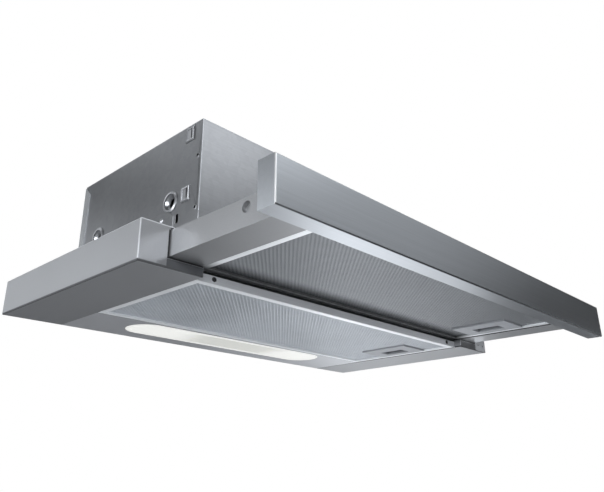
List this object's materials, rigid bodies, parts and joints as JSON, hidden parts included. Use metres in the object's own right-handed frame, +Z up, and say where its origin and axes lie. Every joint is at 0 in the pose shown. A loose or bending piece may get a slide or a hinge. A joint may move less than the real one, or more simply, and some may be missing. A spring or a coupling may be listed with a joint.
{
  "type": "pull-out range hood",
  "caption": "Slim pull-out range hood: wide base with side caps, a visor drawer on ball runners, tilting grease filters, a lamp, and a blower housing with a round duct collar.",
  "frame": {"origin": "middle of the round duct collar, where the duct seats on its flange", "axes": "+X to the right along the width, +Y towards the wall, +Z up along the duct collar"},
  "size_m": [0.598, 0.4372, 0.2028],
  "materials": {
    "cap_paint": "satin",
    "base_steel": "satin",
    "fascia_steel": "brushed",
    "arm_steel": "satin",
    "visor_steel": "satin",
    "housing_steel": "rolled",
    "collar_plastic": "moulded",
    "flap_plastic": "moulded",
    "scroll_steel": "galvanised",
    "impeller_plastic": "moulded",
    "motor_steel": "painted",
    "bright_steel": "ground",
    "screw_steel": "zinc plated",
    "runner_steel": "zinc plated",
    "cage_brass": "stamped",
    "capacitor_plastic": "moulded",
    "box_plastic": "moulded",
    "gland_plastic": "moulded",
    "panel_paint": "satin",
    "lens_glass": "frosted",
    "reflector_metal": "polished",
    "holder_ceramic": "glazed",
    "bulb_glass": "clear",
    "filter_frame_metal": "satin",
    "filter_mesh_metal": "expanded mesh",
    "filter_core_metal": "knitted mesh",
    "latch_plate_plastic": "moulded",
    "latch_plastic": "moulded",
    "control_plastic": "moulded",
    "knob_plastic": "moulded"
  },
  "bodies": {
    "hood": {"base_frame": "base_steel", "front_beam": "base_steel", "side_cap_left": "cap_paint", "side_cap_right": "cap_paint", "cap_screws": "screw_steel", "lamp_panel": "panel_paint", "lamp_lens": "lens_glass", "lamp_reflector": "reflector_metal", "lamp_holders": "holder_ceramic", "lamp_bulb_left": "bulb_glass", "lamp_bulb_right": "bulb_glass", "housing_shell": "housing_steel", "housing_back": "housing_steel", "housing_top": "housing_steel", "housing_screws": "screw_steel", "duct_collar": "collar_plastic", "flap_pin": "bright_steel", "scroll_wrap": "scroll_steel", "scroll_side_left": "scroll_steel", "scroll_side_right": "scroll_steel", "motor_bracket": "scroll_steel", "motor_stator": "motor_steel", "motor_end_cap": "motor_steel", "motor_bearings": "bright_steel", "capacitor": "capacitor_plastic", "terminal_box": "box_plastic", "terminal_lid": "box_plastic", "cable_gland": "gland_plastic", "runner_outer_left": "runner_steel", "runner_outer_right": "runner_steel"},
    "visor": {"visor_fascia": "fascia_steel", "visor_arm_left": "arm_steel", "visor_arm_right": "arm_steel", "visor_top_plate": "visor_steel", "visor_rear_rail": "visor_steel", "runner_inner_left": "runner_steel", "runner_inner_right": "runner_steel", "control_box": "control_plastic", "visor_screws": "screw_steel"},
    "cage_left": {"ball_cage_left": "cage_brass", "runner_balls_left": "bright_steel"},
    "cage_right": {"ball_cage_right": "cage_brass", "runner_balls_right": "bright_steel"},
    "base_filter": {"base_filter_frame": "filter_frame_metal", "base_filter_mesh": "filter_mesh_metal", "base_filter_core": "filter_core_metal", "base_latch_plate": "latch_plate_plastic"},
    "base_filter_latch": {"base_latch": "latch_plastic"},
    "visor_filter": {"visor_filter_frame": "filter_frame_metal", "visor_filter_mesh": "filter_mesh_metal", "visor_filter_core": "filter_core_metal", "visor_latch_plate": "latch_plate_plastic"},
    "visor_filter_latch": {"visor_latch": "latch_plastic"},
    "rotor": {"fan_impeller": "impeller_plastic", "motor_shaft": "bright_steel", "motor_rotor": "motor_steel"},
    "flap_leaf_front": {"flap_front": "flap_plastic"},
    "flap_leaf_back": {"flap_back": "flap_plastic"},
    "speed_slide": {"speed_knob": "knob_plastic"},
    "lamp_slide": {"lamp_knob": "knob_plastic"}
  },
  "joints": [
    {"name": "visor_slide", "type": "slide", "parent": "hood", "child": "visor", "axis": [0, 1, 0], "range_m": [0, 0.147]},
    {"name": "cage_left_slide", "type": "slide", "parent": "hood", "child": "cage_left", "axis": [0, 1, 0], "range_m": [0, 0.0735]},
    {"name": "cage_right_slide", "type": "slide", "parent": "hood", "child": "cage_right", "axis": [0, 1, 0], "range_m": [0, 0.0735]},
    {"name": "base_filter_tilt", "type": "hinge", "parent": "hood", "child": "base_filter", "pos_m": [-0.2273, -0.05425, -0.1845], "axis": [0, -1, 0], "range_deg": [-60, 0]},
    {"name": "base_latch_slide", "type": "slide", "parent": "base_filter", "child": "base_filter_latch", "axis": [1, 0, 0], "range_m": [-0.005, 0], "stiffness_N_per_m": 300, "springref_m": 0.002},
    {"name": "visor_filter_tilt", "type": "hinge", "parent": "visor", "child": "visor_filter", "pos_m": [-0.2273, -0.22125, -0.1735], "axis": [0, -1, 0], "range_deg": [-60, 0]},
    {"name": "visor_latch_slide", "type": "slide", "parent": "visor_filter", "child": "visor_filter_latch", "axis": [1, 0, 0], "range_m": [-0.005, 0], "stiffness_N_per_m": 300, "springref_m": 0.002},
    {"name": "fan_spin", "type": "hinge", "parent": "hood", "child": "rotor", "pos_m": [0, -0.05625, -0.06735], "axis": [1, 0, 0], "continuous": true},
    {"name": "flap_front_swing", "type": "hinge", "parent": "hood", "child": "flap_leaf_front", "pos_m": [0, 0, 0.0032], "axis": [-1, 0, 0], "range_deg": [0, 75]},
    {"name": "flap_back_swing", "type": "hinge", "parent": "hood", "child": "flap_leaf_back", "pos_m": [0, 0, 0.0032], "axis": [1, 0, 0], "range_deg": [0, 75]},
    {"name": "speed_slide_travel", "type": "slide", "parent": "visor", "child": "speed_slide", "axis": [1, 0, 0], "range_m": [0, 0.021]},
    {"name": "lamp_slide_travel", "type": "slide", "parent": "visor", "child": "lamp_slide", "axis": [1, 0, 0], "range_m": [0, 0.008]}
  ],
  "couplings": [
    {"joint": "cage_left_slide", "follows": "visor_slide", "ratio": 0.5},
    {"joint": "cage_right_slide", "follows": "visor_slide", "ratio": 0.5},
    {"joint": "flap_back_swing", "follows": "flap_front_swing", "ratio": 1}
  ]
}
